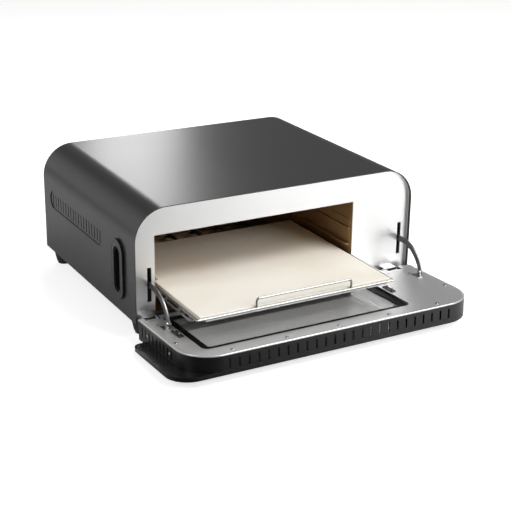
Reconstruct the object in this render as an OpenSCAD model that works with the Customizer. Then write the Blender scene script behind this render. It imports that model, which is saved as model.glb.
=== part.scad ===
// Countertop pizza oven: wrapped steel housing, drop-down glazed door, sliding stone.
// Millimetres. X to the right, Y to the back, Z up. Origin: on the worktop, under the
// middle of the housing. Modelled with the door open and the stone carrier drawn out.

/* [Housing] */
// Outer width of the wrapped housing
body_w = 460; // [440:1:520]
// Outer depth of the housing without the door
body_d = 356; // [350:1:420]
// Height of the wrap, from its lower edge to its top
body_h = 166.5; // [158:0.5:190]
// Outer radius of the two upper corners
corner_r = 49; // [35:1:60]
// Thickness of the wrap sheet
skin_t = 1.2; // [0.8:0.1:1.6]
// Clear height between the worktop and the wrap
foot_h = 24; // [22:1:40]

/* [Front panel] */
// How far the panel sits behind the front edge of the wrap
panel_recess = 7; // [5:0.5:10]
// Thickness of the panel sheet
panel_t = 1.2; // [0.8:0.1:2]
// Width of the slot that each door arm passes through
arm_slot_w = 6.5; // [5:0.5:8]
// Height of that slot
arm_slot_h = 51; // [45:1:56]

/* [Cavity] */
// Distance from the housing's left side to the chamber
cavity_left = 33; // [30:1:38]
// Width of the electrics bay on the right, from the chamber to the housing's side
bay_w = 101; // [96:1:120]
// Height of the cooking chamber
cavity_h = 113.5; // [105:0.5:118]
// Space between the chamber's back and the back of the housing
back_space = 23.8; // [20:0.1:30]
// Height of the chamber floor above the lower edge of the wrap
cavity_lift = 10.5; // [9:0.5:14]
// Thickness of the chamber sheet
liner_t = 1; // [0.6:0.1:1.5]

/* [Stone] */
// Clear space on each side of the baking stone
stone_side_gap = 10; // [9:0.5:20]
// How much shorter the stone is than the chamber
stone_back_gap = 41; // [40:0.5:60]
// Thickness of the baking stone
stone_t = 10; // [8:0.5:11]
// Height of the stone's top above the lower edge of the wrap
stone_top = 46; // [44:0.5:50]
// How far the carrier comes out with the door
carrier_travel = 158; // [156:1:159]
// Distance that the carrier's front bar reaches in front of the wrap
carrier_reach = 115.5; // [110:0.5:116]
// Diameter of the carrier's bars
bar_d = 3.5; // [3:0.5:4.5]
// Diameter of the wire handle
handle_d = 3; // [2.5:0.5:4]
// Length of the wire handle
handle_w = 152; // [100:1:180]
// Height of the wire handle above the front bar
handle_h = 13; // [10:1:16]

/* [Door] */
// Thickness of the door
door_t = 29; // [27:0.5:32]
// How far the door folds down from its closed place, in degrees
door_angle = 87.7; // [80:0.1:88]
// Distance of the hinge axis in front of the wrap
hinge_out = 10.4; // [10:0.1:12]
// Height of the hinge axis above the lower edge of the wrap
hinge_up = 2; // [1.5:0.1:3]
// Distance from the hinge axis to the door's inner face
hinge_to_face = 8.2; // [7.8:0.1:8.6]
// Distance from the hinge axis down to the door's lower edge
door_drop = 8.5; // [8:0.1:8.8]
// Thickness of the outer fascia
fascia_t = 6; // [3:0.5:7]
// How far the fascia's grip ear reaches past the housing on the left
ear_w = 22; // [15:1:25]
// How far the clear window ends inside the chamber on each side
window_inset = 11; // [8:0.5:20]
// Height of the window glass
window_h = 112; // [100:1:116]
// Thickness of each glass pane
glass_t = 4; // [3:0.5:5]
// Width of each vent slot in the door's edge
vent_w = 2.8; // [2:0.1:3.5]
// Length of each vent slot in the door's edge
vent_l = 14; // [8:0.5:15]

/* [Arms] */
// Mean radius of the two curved arms
arm_r = 52.3; // [52:0.1:53]
// Width of the curved strip
arm_w = 9; // [7:0.5:10]
// Thickness of the curved strip
arm_t = 2.5; // [2:0.1:3]

/* [Controls] */
// Diameter of the two control knobs
knob_d = 36; // [28:1:40]
// Height of the knobs in front of the fascia
knob_h = 6; // [5:0.5:6.5]

/* [Grips] */
// Width of the carry grip's bezel
grip_w = 40; // [36:1:46]
// Height of the carry grip's bezel
grip_h = 90; // [80:1:96]
// How far the bezel stands out of the wrap
grip_proud = 4; // [3:0.5:5]

/* [Hidden] */
$fn = 64;
eps = 0.01;

// Planes of the housing
front_y = -body_d / 2;
rear_y = body_d / 2;
wrap_z = foot_h;
top_z = wrap_z + body_h;
panel_y = front_y + panel_recess;
panel_back_y = panel_y + panel_t;
rear_panel_t = 1.2;
rear_inset = 4;
rear_panel_y = rear_y - rear_inset - rear_panel_t;
seat_gap = 0.2;
inner_x = body_w / 2 - skin_t - seat_gap;
base_t = 1.2;
base_z = wrap_z + 1.5;
base_top_z = base_z + base_t;

// Cooking chamber
cavity_x0 = -body_w / 2 + cavity_left;
cavity_x1 = body_w / 2 - bay_w;
cavity_x = (cavity_x0 + cavity_x1) / 2;
cavity_w = cavity_x1 - cavity_x0;
cavity_d = body_d - panel_recess - panel_t - back_space;
cavity_z0 = wrap_z + cavity_lift;
cavity_z1 = cavity_z0 + cavity_h;
cavity_back_y = panel_back_y + cavity_d;

// Stone and carrier, drawn out
stone_w = cavity_w - 2 * stone_side_gap;
stone_d = cavity_d - stone_back_gap;
stone_z1 = wrap_z + stone_top;
stone_z0 = stone_z1 - stone_t;
carrier_y0 = front_y - carrier_reach;
carrier_side_gap = 4;
carrier_x0 = cavity_x0 + carrier_side_gap;
carrier_x1 = cavity_x1 - carrier_side_gap;
stone_gap = 0.4;
stone_y0 = carrier_y0 + bar_d + stone_gap;
stone_x0 = cavity_x - stone_w / 2;
bar_drop = 3.5;
front_bar_z = stone_z1 - bar_drop;
rail_z = stone_z0 - bar_d / 2;
nose_back = 12;
cross_count = 7;
shelf_gap = 0.3;
strip_h = 4;
strip_t = 1;
strip_inset = 14;
strip_hole_r = 0.8;
strip_hole_pitch = 20;
strip_holes = floor((carrier_x1 - carrier_x0 - 2 * strip_inset) / strip_hole_pitch);

// Door, in its closed place about the hinge axis: X, Y to the oven, Z up
hinge_y = front_y - hinge_out;
hinge_z = wrap_z + hinge_up;
door_in_y = hinge_to_face;
door_out_y = hinge_to_face - door_t;
door_z0 = -door_drop;
door_z1 = body_h - hinge_up;
door_foot_r = 8;
nose_r = 4.5;
plate_t = 1.4;
frame_wall = 1.6;
fascia_y1 = door_out_y + fascia_t;
plate_y0 = door_in_y - plate_t;
door_join_gap = 0.1;
ear_from_z = 24;
ear_corner_r = 34;
gasket_w = 13;
window_z0 = 12;
window_z1 = window_z0 + window_h;
window_x = cavity_x + 1;
window_w = cavity_w - 2 * window_inset;
window_sink = 3.2;
gasket_y1 = door_in_y - window_sink;
gasket_t = 3.2;
gasket_lip = 1.2;
gasket_r = 10;
glass_lap = 6;
glass_r = 4;
low_border = 10;
outer_glass_gap = 0.3;
vent_count = 25;
vent_first_x = -body_w / 2 + 55;
vent_last_x = body_w / 2 - 52.2;
vent_pitch = (vent_last_x - vent_first_x) / (vent_count - 1);
vent_mid_y = door_in_y - 13.7;
side_vent_pitch = 11.7;
side_vent_count = 9;
side_vent_first_z = 9;

// Arms and hinges
arm_left_x = -body_w / 2 + 24.5;
arm_right_x = body_w / 2 - 15;
arm_clear = 0.3;
arm_tail = -22;
arm_eye_r = arm_w / 2 + 0.6;
eye_angle = 74.2;
eye_y = door_in_y + arm_eye_r + arm_clear;
eye_z = 44.3;
arm_y = eye_y - arm_r * cos(eye_angle);
arm_z = eye_z - arm_r * sin(eye_angle);
rivet_r = 2;
rivet_gap = 0.05;
rivet_head_r = 3;
lug_t = 2;
lug_gap = 0.4;
lug_r = 3.8;
lug_base_w = 8;
lug_base_t = 1.2;
guide_half_w = 6;
guide_depth = 14;
guide_wall = 3;
guide_clear = 0.6;
slot_low = 27;
pin_r = 3;
pin_gap = 0.05;
pin_over = 0.8;
leaf_left_x = -body_w / 2 + 20;
leaf_right_x = body_w / 2 - 33;
leaf_w = 14;
leaf_t = 2.2;
leaf_h = 34;
leaf_eye_wall = 2.2;
ear_gap = 1.5;
bracket_t = 2;
web_t = 1.2;
web_gap = 0.5;
hinge_room = 5;

// Controls on the fascia
knob_x = body_w / 2 - 47;
knob_z_high = 134;
knob_z_low = 88;
shaft_r = 3;
shaft_gap = 0.05;
switch_d = 26;
switch_t = 9;
lens_x = knob_x;
lens_z = 50;
lens_w = 24;
lens_h = 7;

// Carry grips, side vents
grip_y = front_y + 56;
grip_z = wrap_z + 64;
grip_hole_w = 21;
grip_hole_h = 68;
cup_depth = 13;
cup_wall = 1.6;
side_vent_h = 20;
side_vent_w = 2.6;
louvre_count = 19;
louvre_from = 115;
louvre_to = 27;
louvre_field_l = body_d - louvre_from - louvre_to;
louvre_pitch = (louvre_field_l - 23) / (louvre_count - 1);
louvre_mid_y = front_y + louvre_from + louvre_field_l / 2;
louvre_mid_z = wrap_z + 89;
louvre_field_h = 28;
louvre_sink = 1.2;

// Feet
foot_x = body_w / 2 - 20;
foot_y_inset = 24;
foot_top_r = 15.5;
foot_low_r = 12;
pad_h = 4;
pad_r = 10.5;

// Fan
fan_y = rear_panel_y - 22;
fan_x = body_w / 2 - 50;
fan_z = wrap_z + 92;
fan_size = 60;
fan_t = 20;
fan_bore_r = 27;
fan_shaft_r = 2;
fan_shaft_gap = 0.05;

dark_paint = [0.26, 0.26, 0.27];
steel = [0.82, 0.82, 0.82];
golden = [0.62, 0.5, 0.3];
black = [0.08, 0.08, 0.08];

// A flat outline in X and Z, made into a plate from y0 to y1
module slab_y(y0, y1) {
    translate([0, y1, 0]) rotate([90, 0, 0]) linear_extrude(y1 - y0) children();
}

// A box given by its two corners
module box(p, q) {
    translate(p) cube(q - p);
}

// A rectangle from x0 to x1 and z0 to z1 with its own radius above and below
module round_rect(x0, x1, z0, z1, r_low, r_high) {
    translate([x0, z0 + r_low]) square([x1 - x0, z1 - z0 - r_low - r_high]);
    translate([x0 + r_low, z0]) square([x1 - x0 - 2 * r_low, r_low + eps]);
    translate([x0 + r_high, z1 - r_high - eps]) square([x1 - x0 - 2 * r_high, r_high + eps]);
    for (x = [x0 + r_low, x1 - r_low]) translate([x, z0 + r_low]) circle(r_low);
    for (x = [x0 + r_high, x1 - r_high]) translate([x, z1 - r_high]) circle(r_high);
}

// An upright pill, w wide and h high, about the origin
module pill(w, h) {
    square([w, h - w], center = true);
    for (s = [-1, 1]) translate([0, s * (h - w) / 2]) circle(w / 2);
}

// A countersunk screw head with a short shank, axis along +Z
module screw(head_r, head_t, shank_r, shank_l) {
    cylinder(h = head_t, r = head_r);
    translate([0, 0, -shank_l]) cylinder(h = shank_l + eps, r = shank_r);
}

// Section of the wrap, drawn inwards by t
module wrap_outline(t) {
    round_rect(-body_w / 2 + t, body_w / 2 - t, wrap_z, top_z - t, eps, corner_r - t);
}

module side_openings(side) {
    x = side * body_w / 2;
    translate([x, grip_y, grip_z]) rotate([90, 0, 90])
        linear_extrude(8 * skin_t, center = true) pill(grip_hole_w + 4, grip_hole_h + 4);
    translate([x, louvre_mid_y, louvre_mid_z]) rotate([90, 0, 90]) {
        linear_extrude(2 * louvre_sink, center = true) rotate(90) pill(louvre_field_h, louvre_field_l);
        for (i = [0 : louvre_count - 1])
            translate([(i - (louvre_count - 1) / 2) * louvre_pitch, 0])
                linear_extrude(12 * skin_t, center = true) pill(side_vent_w, side_vent_h);
    }
}

module wrap_shell() color(dark_paint) difference() {
    union() {
        slab_y(front_y, rear_y) difference() {
            wrap_outline(0);
            translate([0, -eps]) wrap_outline(skin_t);
            translate([-body_w / 2 + skin_t, wrap_z - 1])
                square([body_w - 2 * skin_t, body_h - corner_r]);
        }
        for (side = [-1, 1])
            translate([side * (body_w / 2 - skin_t / 2 - louvre_sink), louvre_mid_y, louvre_mid_z])
                rotate([90, 0, 90]) linear_extrude(skin_t, center = true)
                    rotate(90) pill(louvre_field_h + 2, louvre_field_l + 2);
    }
    for (side = [-1, 1]) side_openings(side);
}

module base_pan() color(dark_paint) difference() {
    union() {
        box([-inner_x, panel_back_y + seat_gap, base_z], [inner_x, rear_panel_y - seat_gap, base_top_z]);
        for (x = [-inner_x, inner_x - base_t])
            box([x, panel_back_y + seat_gap, base_z], [x + base_t, rear_panel_y - seat_gap, base_z + 7]);
    }
    for (x = [-foot_x, foot_x], y = foot_ys())
        translate([x, y, base_z - 1]) cylinder(h = 4, r = 2.6);
    for (i = [0 : 9], j = [0 : 2])
        translate([cavity_x1 + 21 + j * 22, front_y + 88 + i * 20, base_z - 1]) cube([14, 3, 4]);
}

function foot_ys() = [front_y + foot_y_inset, rear_y - foot_y_inset];

rear_vent_x = body_w / 2 - 40;

module rear_panel() color(dark_paint) difference() {
    slab_y(rear_panel_y, rear_panel_y + rear_panel_t)
        round_rect(-inner_x, inner_x, wrap_z + 1, top_z - skin_t - seat_gap, eps, corner_r - skin_t - seat_gap);
    for (i = [0 : 11])
        translate([fan_x - 24 + i * 4.4, rear_panel_y - 1, fan_z - 22]) cube([2.4, 4, 44]);
    for (i = [0 : 23], z = [wrap_z + 46, wrap_z + 120])
        translate([-rear_vent_x + i * 12, rear_panel_y - 1, z]) cube([3, 4, 18]);
    translate([gland_x, rear_panel_y - 1, gland_z]) rotate([-90, 0, 0]) cylinder(h = 4, r = gland_neck_r);
    for (p = rear_screw_spots())
        translate([p[0], rear_panel_y - 1, p[1]]) rotate([-90, 0, 0]) cylinder(h = 4, r = 1.6);
}

gland_x = body_w / 2 - 60;
gland_z = wrap_z + 26;
gland_neck_r = 7.5;
gland_bore_r = 3.8;
gland_head_r = 11;

function rear_screw_spots() = [
    for (x = [-inner_x + 14, 0, inner_x - 14]) [x, wrap_z + 12],
    for (x = [-150, 150]) [x, top_z - 14]
];

module rear_screws() color(steel)
    for (p = rear_screw_spots())
        translate([p[0], rear_panel_y + rear_panel_t, p[1]]) rotate([-90, 0, 0]) screw(3.4, 1.8, 1.5, 6);

module front_panel() color(steel) difference() {
    union() {
        slab_y(panel_y, panel_back_y)
            round_rect(-inner_x, inner_x, wrap_z + 1, top_z - skin_t - seat_gap, eps, corner_r - skin_t - seat_gap);
    }
    box([cavity_x0, panel_y - 1, cavity_z0], [cavity_x1, panel_back_y + 1, cavity_z1]);
    for (x = [arm_left_x, arm_right_x])
        box([x - arm_slot_w / 2, panel_y - 1, wrap_z + slot_low],
            [x + arm_slot_w / 2, panel_back_y + 1, wrap_z + slot_low + arm_slot_h]);
}

module cavity_liner() color(golden) difference() {
    box([cavity_x0 - liner_t, panel_back_y, cavity_z0 - liner_t],
        [cavity_x1 + liner_t, cavity_back_y + liner_t, cavity_z1 + liner_t]);
    box([cavity_x0, panel_back_y - 1, cavity_z0], [cavity_x1, cavity_back_y, cavity_z1]);
    for (x = upper_legs_x()) translate([x, cavity_back_y - 1, upper_z]) rotate([-90, 0, 0]) cylinder(h = 4, r = element_r + 0.3);
    for (x = lower_legs_x()) translate([x, cavity_back_y - 1, lower_z]) rotate([-90, 0, 0]) cylinder(h = 4, r = element_r + 0.3);
    translate([cavity_x1 - 1, probe_y, probe_z]) rotate([0, 90, 0]) cylinder(h = 4, r = probe_r + 0.1);
}

// Each shelf rail is a stamped strip with a channel for the carrier and two ribs
shelf_y0 = panel_back_y + 4;
shelf_y1 = cavity_back_y - 3;
shelf_t = 1.2;
shelf_ledge = 9;
rail_top_z = stone_z0 - bar_d;

module shelf_profile() {
    square([shelf_t, 78]);
    for (z = [0, 18, 62]) translate([0, z]) square([3.4, 3]);
    translate([0, rail_top_z - cavity_z0 - shelf_gap - 6 - 1.6]) square([shelf_ledge, 1.6]);
    translate([0, stone_z1 - cavity_z0 + 3]) square([shelf_ledge - 2, 1.6]);
}

module shelf_rail(side) color(steel)
    translate([side < 0 ? cavity_x0 : cavity_x1, 0, cavity_z0 + 6])
        scale([side < 0 ? 1 : -1, 1, 1]) slab_y(shelf_y0, shelf_y1) shelf_profile();

module shelf_rail_left() shelf_rail(-1);
module shelf_rail_right() shelf_rail(1);

// Heating elements: bent tubes in a flat serpentine
element_r = 3.2;
upper_z = cavity_z1 - 12;
lower_z = cavity_z0 + 10;
element_pitch = 44;
element_runs = 6;
element_len = cavity_d - 94;
element_y0 = cavity_back_y - 34 - element_len;

function run_x(i, n) = cavity_x + (i - (n - 1) / 2) * element_pitch;
function upper_legs_x() = [run_x(0, element_runs), run_x(element_runs - 1, element_runs)];
function lower_legs_x() = upper_legs_x();

module bend(x, y, z, a) {
    translate([x, y, z]) rotate([0, 0, a])
        rotate_extrude(angle = 180) translate([element_pitch / 2, 0]) circle(element_r);
}

module element(z) {
    n = element_runs;
    for (i = [0 : n - 1]) {
        back = (i == 0 || i == n - 1) ? cavity_back_y + 9 : element_y0 + element_len;
        translate([run_x(i, n), element_y0, z]) rotate([-90, 0, 0]) cylinder(h = back - element_y0, r = element_r);
    }
    for (i = [0 : 2 : n - 2]) bend(run_x(i, n) + element_pitch / 2, element_y0, z, 180);
    for (i = [1 : 2 : n - 3]) bend(run_x(i, n) + element_pitch / 2, element_y0 + element_len, z, 0);
}

module upper_element() color(black) element(upper_z);
module lower_element() color(black) element(lower_z);

module element_brackets() color(steel)
    for (y = [element_y0 + 40, element_y0 + element_len - 40]) {
        box([run_x(0, element_runs) - 8, y, upper_z + element_r + eps],
            [run_x(element_runs - 1, element_runs) + 8, y + 6, cavity_z1 - eps]);
        box([run_x(0, element_runs) - 8, y, cavity_z0 + eps],
            [run_x(element_runs - 1, element_runs) + 8, y + 6, lower_z - element_r - eps]);
    }

// Blanket over the top, the back and both sides of the chamber
blanket_t = 14;
blanket_y0 = panel_back_y + 80;
blanket_gap = 0.3;

module insulation_blanket() color([0.85, 0.83, 0.75]) difference() {
    box([cavity_x0 - liner_t - blanket_t, blanket_y0, cavity_z0],
        [cavity_x1 + liner_t + blanket_t, cavity_back_y + liner_t + 8, cavity_z1 + liner_t + blanket_t]);
    box([cavity_x0 - liner_t - blanket_gap, blanket_y0 - 1, cavity_z0 - 1],
        [cavity_x1 + liner_t + blanket_gap, cavity_back_y + liner_t + blanket_gap, cavity_z1 + liner_t + blanket_gap]);
    for (x = upper_legs_x(), z = [upper_z, lower_z])
        translate([x, cavity_back_y, z]) rotate([-90, 0, 0]) cylinder(h = 30, r = element_r + 1);
    translate([cavity_x1, probe_y, probe_z]) rotate([0, 90, 0]) cylinder(h = 30, r = 5);
    translate([cavity_x, cutout_y, cavity_z1]) cylinder(h = 30, r = 12);
}

divider_x = cavity_x1 + liner_t + blanket_t + 3;
divider_t = 1;

module bay_divider() color(steel) {
    box([divider_x, panel_back_y + 22, base_top_z], [divider_x + divider_t, rear_panel_y - seat_gap, cavity_z1 + 18]);
    box([divider_x, panel_back_y + 22, base_top_z], [divider_x + 7, rear_panel_y - seat_gap, base_top_z + 1]);
}

board_x = divider_x + divider_t + 8;
board_t = 1.6;
board_y0 = front_y + 120;
board_y1 = board_y0 + 130;
board_z0 = base_top_z + 26;
board_z1 = board_z0 + 84;

module power_board() color([0.12, 0.35, 0.18]) {
    box([board_x, board_y0, board_z0], [board_x + board_t, board_y1, board_z1]);
    for (y = [board_y0 + 8, board_y1 - 8], z = [board_z0 + 8, board_z1 - 8])
        translate([divider_x + divider_t, y, z]) rotate([0, 90, 0]) cylinder(h = 8 + eps, r = 2.5);
    for (i = [0 : 1])
        box([board_x + board_t - eps, board_y0 + 20 + 34 * i, board_z0 + 14],
            [board_x + board_t + 15, board_y0 + 42 + 34 * i, board_z0 + 34]);
    box([board_x + board_t - eps, board_y0 + 88, board_z0 + 30], [board_x + board_t + 18, board_y0 + 118, board_z0 + 66]);
    for (y = [board_y0 + 30, board_y0 + 52])
        translate([board_x + board_t - eps, y, board_z0 + 60]) rotate([0, 90, 0]) cylinder(h = 16, r = 7);
}

module terminal_block() color([0.9, 0.9, 0.86]) difference() {
    box([gland_x - 14.5, rear_panel_y - 60, base_top_z], [gland_x + 14.5, rear_panel_y - 44, base_top_z + 15]);
    for (i = [0 : 2])
        translate([gland_x - 9 + 9 * i, rear_panel_y - 52, base_top_z + 8]) cylinder(h = 10, r = 2.6);
}

cutout_y = panel_back_y + cavity_d / 2 + 20;

module thermal_cutout() color(black) {
    translate([cavity_x, cutout_y, cavity_z1 + liner_t]) cylinder(h = 3, r = 9);
    translate([cavity_x, cutout_y, cavity_z1 + liner_t + 3 - eps]) cylinder(h = 6, r = 7);
}

probe_y = front_y + 150;
probe_z = cavity_z1 - 22;
probe_r = 2;
probe_l = 12;

module temperature_probe() color(steel) translate([cavity_x1 + liner_t, probe_y, probe_z]) rotate([0, 90, 0]) {
    cylinder(h = 2, r = 4.5);
    translate([0, 0, -probe_l]) cylinder(h = probe_l + eps, r = probe_r);
    translate([0, 0, 2 - eps]) cylinder(h = 10, r = 3);
}

module fan_frame() color(black) translate([fan_x, fan_y, fan_z]) rotate([-90, 0, 0]) {
    difference() {
        translate([-fan_size / 2, -fan_size / 2, 0]) cube([fan_size, fan_size, fan_t + 1.2]);
        translate([0, 0, -1]) cylinder(h = fan_t + 4, r = fan_bore_r);
    }
    difference() {
        union() {
            cylinder(h = 2, r = 9);
            for (a = [45 : 90 : 315]) rotate(a) translate([0, -1.5, 0]) cube([fan_bore_r + 1, 3, 2]);
        }
        translate([0, 0, -1]) cylinder(h = 4, r = fan_shaft_r + fan_shaft_gap);
    }
}

module fan_rotor() color([0.15, 0.15, 0.16]) translate([fan_x, fan_y, fan_z]) rotate([-90, 0, 0]) {
    cylinder(h = 4, r = fan_shaft_r);
    translate([0, 0, 3]) cylinder(h = 14, r = 10);
    for (a = [0 : 60 : 300]) rotate(a) translate([9, 0, 10]) rotate([35, 0, 0]) cube([15.5, 1.4, 13], center = false);
}

module mains_cord_gland() color(black) translate([gland_x, rear_panel_y, gland_z]) rotate([-90, 0, 0]) difference() {
    union() {
        translate([0, 0, -9]) cylinder(h = 9 + rear_panel_t, r = gland_neck_r - 0.1);
        translate([0, 0, rear_panel_t]) cylinder(h = 3, r = gland_head_r);
        translate([0, 0, -9]) cylinder(h = 8.9, r = gland_neck_r + 2);
    }
    translate([0, 0, -10]) cylinder(h = 20, r = gland_bore_r);
}

// A moulded foot: round, tapered, screwed up into the base
module foot(sx, y) color(dark_paint) translate([sx * foot_x, y, 0]) difference() {
    rotate_extrude() polygon([
        [0, pad_h], [foot_low_r, pad_h], [foot_top_r, foot_h - 4], [foot_top_r, base_z], [0, base_z]
    ]);
    translate([0, 0, pad_h - 1]) cylinder(h = 3, r = pad_r + 0.2);
    translate([0, 0, base_z - 12]) cylinder(h = 20, r = 2);
}

module front_left_foot() foot(-1, foot_ys()[0]);
module front_right_foot() foot(1, foot_ys()[0]);
module rear_left_foot() foot(-1, foot_ys()[1]);
module rear_right_foot() foot(1, foot_ys()[1]);

module foot_pads() color(black)
    for (x = [-foot_x, foot_x], y = foot_ys())
        translate([x, y, 0]) cylinder(h = pad_h + 2, r = pad_r);

module base_screws() color(steel)
    for (x = [-foot_x, foot_x], y = foot_ys())
        translate([x, y, base_top_z]) screw(4.5, 2.2, 1.95, 9);

module grip_bezel(side) color(dark_paint) translate([side * body_w / 2, grip_y, grip_z]) rotate([90, 0, 90]) difference() {
    translate([0, 0, side < 0 ? -grip_proud : 0]) linear_extrude(grip_proud) pill(grip_w, grip_h);
    linear_extrude(4 * grip_proud, center = true) pill(grip_hole_w, grip_hole_h);
}

module grip_bezel_left() grip_bezel(-1);
module grip_bezel_right() grip_bezel(1);

module grip_cup(side) color(black)
    translate([side * (body_w / 2 + grip_proud / 2), grip_y, grip_z]) rotate([90, 0, 90])
        translate([0, 0, side < 0 ? 0 : -cup_depth]) difference() {
            linear_extrude(cup_depth) pill(grip_hole_w - 0.2, grip_hole_h - 0.2);
            translate([0, 0, side < 0 ? -1 : cup_wall]) linear_extrude(cup_depth + 1 - cup_wall)
                pill(grip_hole_w - 2 * cup_wall, grip_hole_h - 2 * cup_wall);
        }

module grip_cup_left() grip_cup(-1);
module grip_cup_right() grip_cup(1);

// Puts what is drawn in the closed place into the open one
module open_door() {
    translate([0, hinge_y, hinge_z]) rotate([door_angle, 0, 0]) children();
}

module door_outline(t) {
    round_rect(-body_w / 2 + t, body_w / 2 - t, door_z0 + t, door_z1 - t, door_foot_r - t, corner_r - t);
}

// Cuts the inner lower edge of the door round, so that it clears the housing
module nose_cut() {
    difference() {
        box([-body_w, door_in_y - nose_r, door_z0 - 1], [body_w, door_in_y + 1, door_z0 + nose_r]);
        translate([-body_w, door_in_y - nose_r, door_z0 + nose_r]) rotate([0, 90, 0]) cylinder(h = 2 * body_w, r = nose_r);
    }
}

module edge_vents() {
    for (i = [0 : vent_count - 1])
        translate([vent_first_x + i * vent_pitch - vent_w / 2, vent_mid_y - vent_l / 2, door_z1 - 2 * frame_wall])
            cube([vent_w, vent_l, 4 * frame_wall]);
    for (side = [-1, 1], i = [0 : side_vent_count - 1])
        translate([side * body_w / 2 - 2 * frame_wall, vent_mid_y - vent_l / 2, side_vent_first_z + i * side_vent_pitch])
            cube([4 * frame_wall, vent_l, vent_w]);
}

module door_frame() color([0.3, 0.3, 0.31]) open_door() difference() {
    slab_y(fascia_y1 + door_join_gap, plate_y0 - door_join_gap) difference() {
        door_outline(0);
        door_outline(frame_wall);
    }
    nose_cut();
    edge_vents();
    hinge_windows();
    for (side = [-1, 1], z = side_screw_zs)
        translate([side * body_w / 2, vent_mid_y, z]) rotate([0, 90, 0])
            cylinder(h = 4 * frame_wall, r = side_shank_r + 0.1, center = true);
}

side_shank_r = 1.4;
side_screw_zs = [for (i = [1, 7]) side_vent_first_z + (i + 0.5) * side_vent_pitch + vent_w / 2];

// Room for the hinge leaves in the lower wall of the frame
module hinge_windows() {
    for (x = [leaf_left_x, leaf_right_x])
        box([x - leaf_w / 2 - hinge_room, -hinge_to_face, door_z0 - 1],
            [x + leaf_w / 2 + hinge_room, door_in_y + 1, door_z0 + 14]);
}

// Outline of the sunk window border, grown by t
module border_outline(t) {
    side = window_w / 2 + gasket_w + t;
    round_rect(window_x - side, window_x + side, window_z0 - low_border - t, window_z1 + gasket_w + t,
               gasket_r + t, gasket_r + t);
}

module door_inner_plate() color([0.66, 0.66, 0.66]) open_door() difference() {
    union() {
        slab_y(plate_y0, door_in_y) door_outline(0);
        slab_y(gasket_y1, plate_y0 + eps) border_outline(plate_t);
    }
    slab_y(gasket_y1 - 1, door_in_y + 1) border_outline(0);
    for (p = plate_screw_spots())
        translate([p[0], plate_y0 - 1, p[1]]) rotate([-90, 0, 0]) cylinder(h = plate_t + 2, r = 1.6);
    nose_cut();
    hinge_windows();
}

screw_edge = 12;
screw_side_x = body_w / 2 - 9.5;
screw_side_z = 98;
screw_row_x = body_w / 2 - 65;
screw_row = 5;

function plate_screw_spots() = [
    for (i = [0 : screw_row - 1]) [-screw_row_x + i * 2 * screw_row_x / (screw_row - 1), door_z1 - screw_edge],
    for (x = [-screw_side_x, screw_side_x]) [x, screw_side_z]
];

module door_plate_screws() color(steel) open_door()
    for (p = plate_screw_spots())
        translate([p[0], door_in_y, p[1]]) rotate([-90, 0, 0]) screw(3, 1, 1.5, 6);

module door_side_screws() color(steel) open_door()
    for (side = [-1, 1], z = side_screw_zs)
        translate([side * body_w / 2, vent_mid_y, z]) rotate([0, side * 90, 0]) screw(2.6, 0.8, side_shank_r, 6);

module fascia_outline() {
    round_rect(-body_w / 2, body_w / 2, door_z0, door_z1, door_foot_r, corner_r);
    intersection() {
        round_rect(-body_w / 2 - ear_w, 0, ear_from_z, door_z1, 12, ear_corner_r);
        translate([-body_w, 0]) square([body_w, door_z1]);
    }
}

module door_fascia() color(black) open_door() difference() {
    slab_y(door_out_y, fascia_y1) fascia_outline();
    slab_y(door_out_y - 1, fascia_y1 + 1)
        window_outline(0);
    for (z = [knob_z_low, knob_z_high])
        translate([knob_x, door_out_y - 1, z]) rotate([-90, 0, 0]) cylinder(h = fascia_t + 2, r = shaft_r + shaft_gap);
    box([lens_x - lens_w / 2, door_out_y - 1, lens_z - lens_h / 2], [lens_x + lens_w / 2, fascia_y1 + 1, lens_z + lens_h / 2]);
}

// Outline of the clear window, grown by t
module window_outline(t) {
    round_rect(window_x - window_w / 2 - t, window_x + window_w / 2 + t, window_z0 - t, window_z1 + t,
               glass_r + t, glass_r + t);
}

// The gasket: a flat border with a lip over the edge of the inner pane
module window_gasket() color(black) open_door() difference() {
    slab_y(gasket_y1 - gasket_t, gasket_y1) border_outline(plate_t);
    slab_y(gasket_y1 - gasket_t - 1, gasket_y1 + 1) window_outline(0);
    slab_y(gasket_y1 - gasket_t - 1, gasket_y1 - gasket_lip) window_outline(glass_lap + 0.1);
}

module pane(y1, grow) {
    slab_y(y1 - glass_t, y1) window_outline(grow);
}

module inner_glass() color([0.3, 0.3, 0.3, 0.5]) open_door() pane(gasket_y1 - gasket_lip, glass_lap);
module outer_glass() color([0.15, 0.15, 0.15, 0.6]) open_door() pane(fascia_y1 - 0.4, -outer_glass_gap);

// Hinge leaf on the door: a plate behind the inner sheet with a rolled eye for the pin
module hinge_leaf(x) color(steel) open_door() difference() {
    union() {
        rotate([0, 90, 0]) translate([0, 0, x - leaf_w / 2]) cylinder(h = leaf_w, r = pin_r + leaf_eye_wall);
        box([x - leaf_w / 2, plate_y0 - seat_gap - leaf_t, 0], [x + leaf_w / 2, plate_y0 - seat_gap, leaf_h]);
        box([x - leaf_w / 2, 0, 0], [x + leaf_w / 2, plate_y0 - seat_gap, pin_r + leaf_eye_wall]);
    }
    rotate([0, 90, 0]) translate([0, 0, x - leaf_w]) cylinder(h = 2 * leaf_w, r = pin_r + pin_gap);
}

module hinge_leaf_left() hinge_leaf(leaf_left_x);
module hinge_leaf_right() hinge_leaf(leaf_right_x);

pin_l = leaf_w + 2 * (ear_gap + bracket_t + pin_over);

module hinge_pin(x) color(steel)
    translate([x - pin_l / 2, hinge_y, hinge_z]) rotate([0, 90, 0]) cylinder(h = pin_l, r = pin_r);

module hinge_pin_left() hinge_pin(leaf_left_x);
module hinge_pin_right() hinge_pin(leaf_right_x);

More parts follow.
